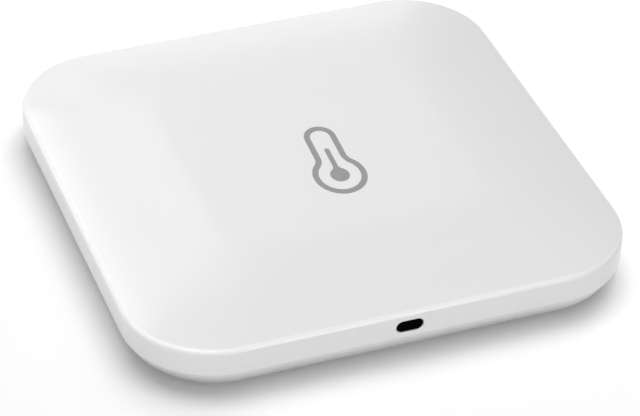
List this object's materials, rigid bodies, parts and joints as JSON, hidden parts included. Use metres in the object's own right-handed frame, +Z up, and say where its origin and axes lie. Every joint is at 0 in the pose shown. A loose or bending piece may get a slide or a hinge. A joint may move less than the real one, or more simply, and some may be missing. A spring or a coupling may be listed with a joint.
{
  "type": "temperature humidity sensor",
  "caption": "Flat square wall or shelf sensor for temperature and humidity: crowned white cover with a vent slot, rear case with a twist-off coin cell door and a pairing button, on foam pads.",
  "frame": {"origin": "middle of the underside, on the resting plane of the foam pads", "axes": "+Z up out of the cover's crown, -Y out of the side with the vent slot, +X to the right seen from that side"},
  "size_m": [0.064, 0.064, 0.0089],
  "materials": {
    "cover_white": "satin moulded white plastic",
    "case_white": "fine-grained moulded white plastic",
    "button_grey": "smooth grey plastic",
    "pad_foam": "closed-cell adhesive foam",
    "board_green": "solder resist on glass laminate",
    "screw_steel": "zinc-plated steel",
    "black_plastic": "moulded black plastic",
    "cell_steel": "brushed stainless can",
    "contact_nickel": "nickel-plated spring strip",
    "chip_black": "moulded chip body",
    "black_foam": "black foam",
    "vent_black": "black porous filter",
    "module_blue": "solder resist on glass laminate",
    "shield_tin": "tin-plated sheet",
    "ceramic_white": "fired ceramic",
    "led_clear": "cast resin",
    "capacitor_tan": "fired ceramic",
    "stem_white": "moulded plastic"
  },
  "bodies": {
    "housing": {"top_cover": "cover_white", "rear_case": "case_white", "mounting_pads": "pad_foam", "circuit_board": "board_green", "board_screws": "screw_steel", "battery_holder": "black_plastic", "coin_cell": "cell_steel", "positive_contact": "contact_nickel", "negative_contact": "contact_nickel", "sensor_chip": "chip_black", "sensor_gasket": "black_foam", "vent_membrane": "vent_black", "module_board": "module_blue", "radio_shield": "shield_tin", "chip_antenna": "ceramic_white", "crystal": "shield_tin", "memory_chip": "chip_black", "status_led": "led_clear", "chip_capacitors": "capacitor_tan", "chip_resistors": "chip_black", "switch_body": "black_plastic"},
    "door": {"battery_door": "case_white"},
    "button": {"pairing_button": "button_grey", "switch_stem": "stem_white"}
  },
  "joints": [
    {"name": "door_twist", "type": "hinge", "parent": "housing", "child": "door", "pos_m": [0, 0, 0.001], "axis": [0, 0, -1], "range_deg": [0, 40]},
    {"name": "button_press", "type": "slide", "parent": "housing", "child": "button", "axis": [0, 0, 1], "range_m": [0, 0.0002], "stiffness_N_per_m": 500}
  ]
}
